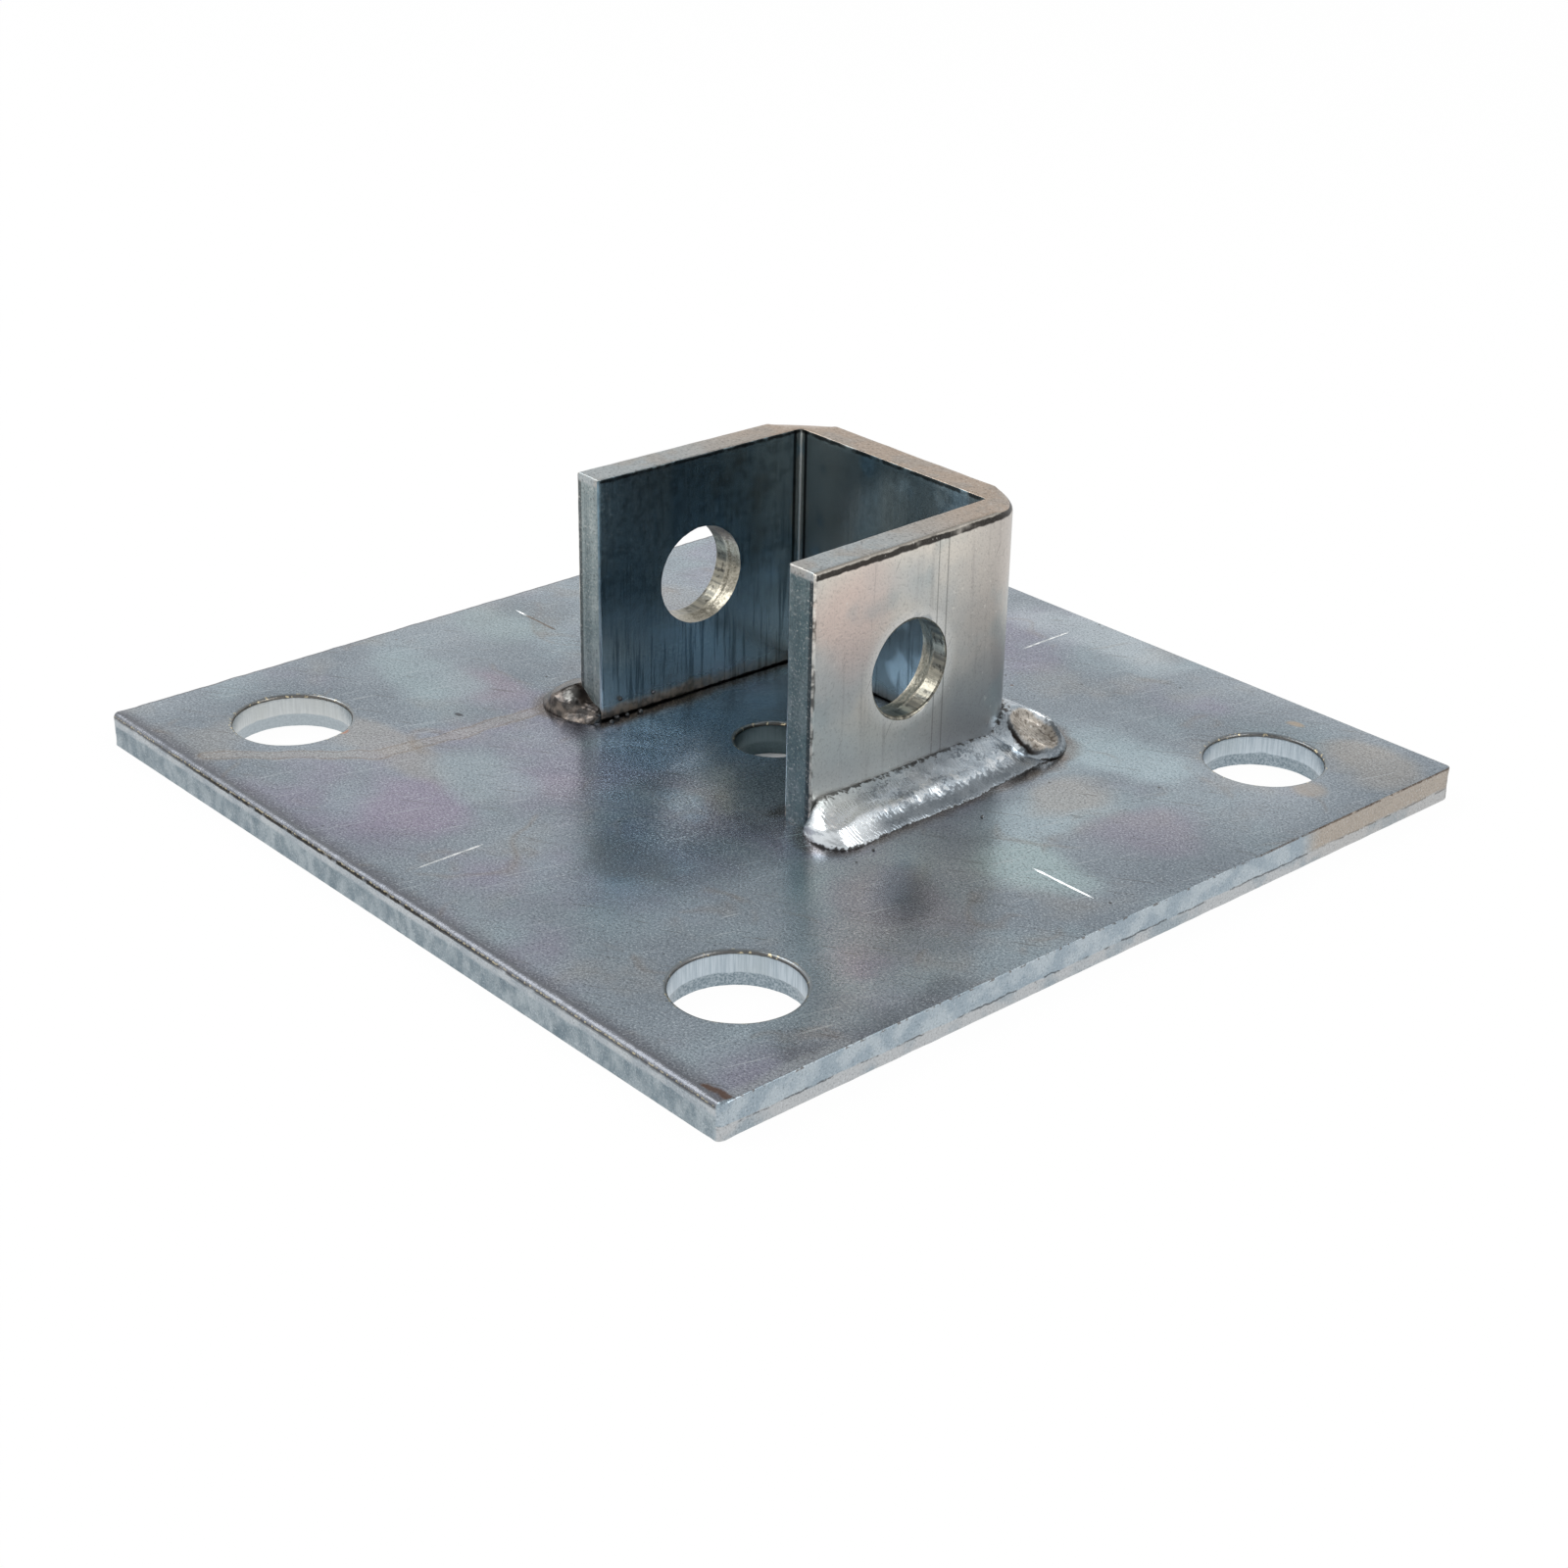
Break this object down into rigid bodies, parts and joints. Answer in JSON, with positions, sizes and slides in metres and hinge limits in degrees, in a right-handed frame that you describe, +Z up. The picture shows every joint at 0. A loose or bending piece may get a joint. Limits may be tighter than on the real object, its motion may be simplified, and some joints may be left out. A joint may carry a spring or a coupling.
{
  "type": "strut post base",
  "caption": "Square steel base plate with a welded U socket that a bolt fastens to the foot of a strut channel post, with anchor holes near the corners.",
  "frame": {"origin": "centre of the plate's underside, on the surface that the base stands on", "axes": "+Z up out of the plate, the U opens towards -Y, +X to the right when looking into the U"},
  "size_m": [0.1524, 0.1524, 0.0471],
  "materials": {
    "plate": "zinc electroplate over hot rolled plate, satin",
    "bracket": "zinc electroplate over flat bar, satin to bright",
    "weld": "zinc electroplate over weld metal, bright"
  },
  "bodies": {
    "root": {"base_plate": "plate", "strut_bracket": "bracket", "weld_right": "weld", "weld_left": "weld", "weld_back": "weld"}
  },
  "joints": []
}
